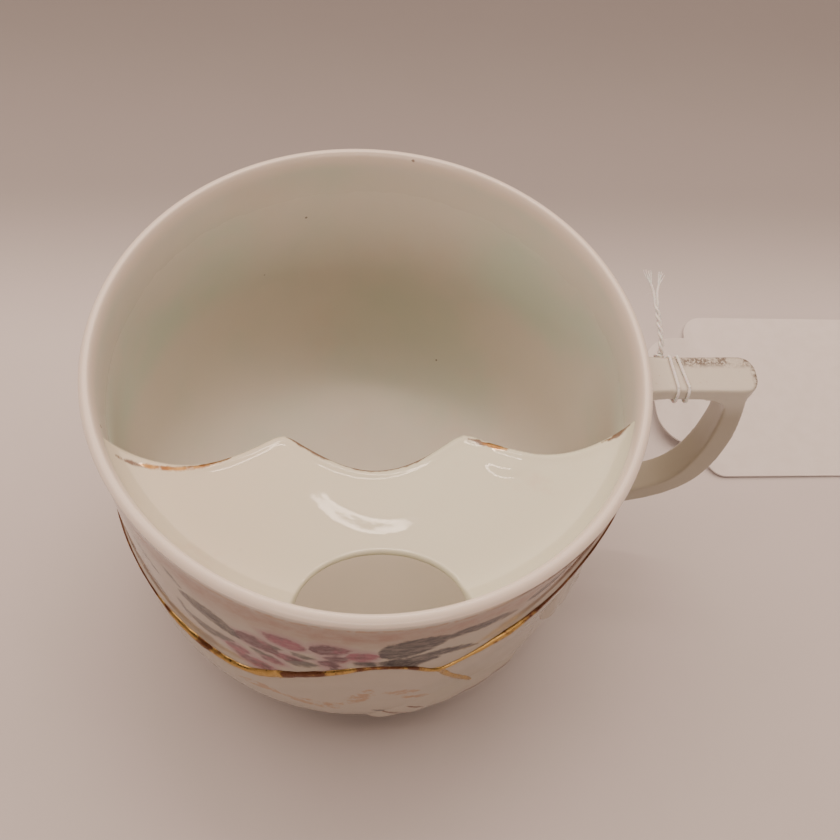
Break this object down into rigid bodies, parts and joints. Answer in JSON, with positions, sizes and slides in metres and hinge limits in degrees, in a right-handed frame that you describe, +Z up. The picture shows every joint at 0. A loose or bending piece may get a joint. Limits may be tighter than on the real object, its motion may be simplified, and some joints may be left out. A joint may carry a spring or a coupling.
{
  "type": "moustache cup",
  "caption": "Porcelain moustache cup: a scalloped ledge with a half-moon opening across the bowl, a thumb-rest handle, gilt relief and a strung paper tag.",
  "frame": {"origin": "on the table, under the middle of the box round the cup and its handle (the string and tag not counted)", "axes": "+Z up; +X along the handle, away from the cup; -Y is the drinking side, where the ledge is"},
  "size_m": [0.1917, 0.1033, 0.069],
  "materials": {
    "porcelain": "glossy clear glaze over ivory-white porcelain",
    "gilt": "worn fired gold over a raised porcelain line",
    "cotton": "matt twisted white thread",
    "paper": "smooth blank white card"
  },
  "bodies": {
    "cup": {"cup_body": "porcelain", "moustache_guard": "porcelain", "handle": "porcelain", "relief_leaf_base": "porcelain", "relief_leaf_side": "porcelain", "relief_ribbon": "gilt", "relief_ribbon_branch": "gilt", "string_wrap": "cotton", "string_knot": "cotton", "string_end_a": "cotton", "string_end_b": "cotton", "tag_string_a": "cotton", "tag_string_b": "cotton"},
    "tag_loop": {"tag_hitch": "cotton"},
    "tag": {"price_tag": "paper"}
  },
  "joints": [
    {"name": "tag_turn", "type": "hinge", "parent": "cup", "child": "tag_loop", "pos_m": [0.06375, 0.0343, 0.0032], "axis": [0, 0, 1], "range_deg": [-45, 60]},
    {"name": "tag_lift", "type": "hinge", "parent": "tag_loop", "child": "tag", "pos_m": [0.06375, 0.0343, 0.0032], "axis": [0, -1, 0], "range_deg": [0, 60]}
  ]
}
